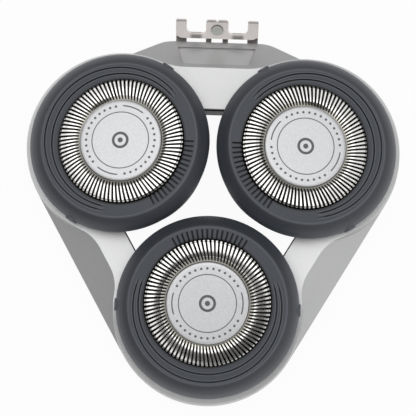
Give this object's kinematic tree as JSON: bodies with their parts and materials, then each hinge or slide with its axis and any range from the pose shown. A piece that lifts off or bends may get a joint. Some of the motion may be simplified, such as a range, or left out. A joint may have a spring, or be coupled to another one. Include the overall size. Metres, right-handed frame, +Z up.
{
  "type": "rotary shaver head",
  "caption": "Rotary shaver head: slotted steel caps in tilting rings on a silver three-armed frame, rotating cutters, hair cups below and a hinge bracket at the rear.",
  "frame": {"origin": "centre of the circle through the three spindle holes, in the plane of the hair cups' floors", "axes": "+X right, +Y to the rear hinge, +Z up out of the caps"},
  "size_m": [0.0668, 0.069, 0.0182],
  "materials": {
    "silver_frame": "satin",
    "ring_grey": "matte",
    "cap_steel": "polished",
    "disc_silver": "satin",
    "retainer_white": "matte",
    "pin_steel": "polished",
    "blade_steel": "brushed",
    "carrier_plastic": "matte",
    "cup_plastic": "matte",
    "under_plastic": "matte",
    "screw_steel": "polished",
    "hinge_nickel": "satin"
  },
  "bodies": {
    "frame": {"frame_plate": "silver_frame", "under_frame": "under_plastic", "frame_screws": "screw_steel", "hinge_pin": "pin_steel", "left_hair_cup": "cup_plastic", "right_hair_cup": "cup_plastic", "front_hair_cup": "cup_plastic"},
    "left_head": {"left_ring": "ring_grey", "left_cap": "cap_steel", "left_disc": "disc_silver", "left_retainer": "retainer_white", "left_pivot_pins": "pin_steel"},
    "left_cutter": {"left_cutter_blades": "blade_steel", "left_cutter_carrier": "carrier_plastic"},
    "right_head": {"right_ring": "ring_grey", "right_cap": "cap_steel", "right_disc": "disc_silver", "right_retainer": "retainer_white", "right_pivot_pins": "pin_steel"},
    "right_cutter": {"right_cutter_blades": "blade_steel", "right_cutter_carrier": "carrier_plastic"},
    "front_head": {"front_ring": "ring_grey", "front_cap": "cap_steel", "front_disc": "disc_silver", "front_retainer": "retainer_white", "front_pivot_pins": "pin_steel"},
    "front_cutter": {"front_cutter_blades": "blade_steel", "front_cutter_carrier": "carrier_plastic"},
    "hinge": {"hinge_bracket": "hinge_nickel", "hinge_rivet": "hinge_nickel"}
  },
  "joints": [
    {"name": "left_tilt", "type": "hinge", "parent": "frame", "child": "left_head", "pos_m": [-0.01644, 0.00949, 0.012], "axis": [-0.5, -0.866, 0], "range_deg": [-5, 5]},
    {"name": "left_cutter_spin", "type": "hinge", "parent": "left_head", "child": "left_cutter", "pos_m": [-0.0155, 0.00895, 0.01217], "axis": [-0.1355, 0.0782, 0.9877], "continuous": true},
    {"name": "right_tilt", "type": "hinge", "parent": "frame", "child": "right_head", "pos_m": [0.01644, 0.00949, 0.012], "axis": [-0.5, 0.866, 0], "range_deg": [-5, 5]},
    {"name": "right_cutter_spin", "type": "hinge", "parent": "right_head", "child": "right_cutter", "pos_m": [0.0155, 0.00895, 0.01217], "axis": [0.1355, 0.0782, 0.9877], "continuous": true},
    {"name": "front_tilt", "type": "hinge", "parent": "frame", "child": "front_head", "pos_m": [0, -0.01898, 0.012], "axis": [1, 0, 0], "range_deg": [-5, 5]},
    {"name": "front_cutter_spin", "type": "hinge", "parent": "front_head", "child": "front_cutter", "pos_m": [0, -0.0179, 0.01217], "axis": [0, -0.1564, 0.9877], "continuous": true},
    {"name": "hinge_swing", "type": "hinge", "parent": "frame", "child": "hinge", "pos_m": [0, 0.02779, 0.00238], "axis": [1, 0, 0], "range_deg": [-90, 0]}
  ]
}
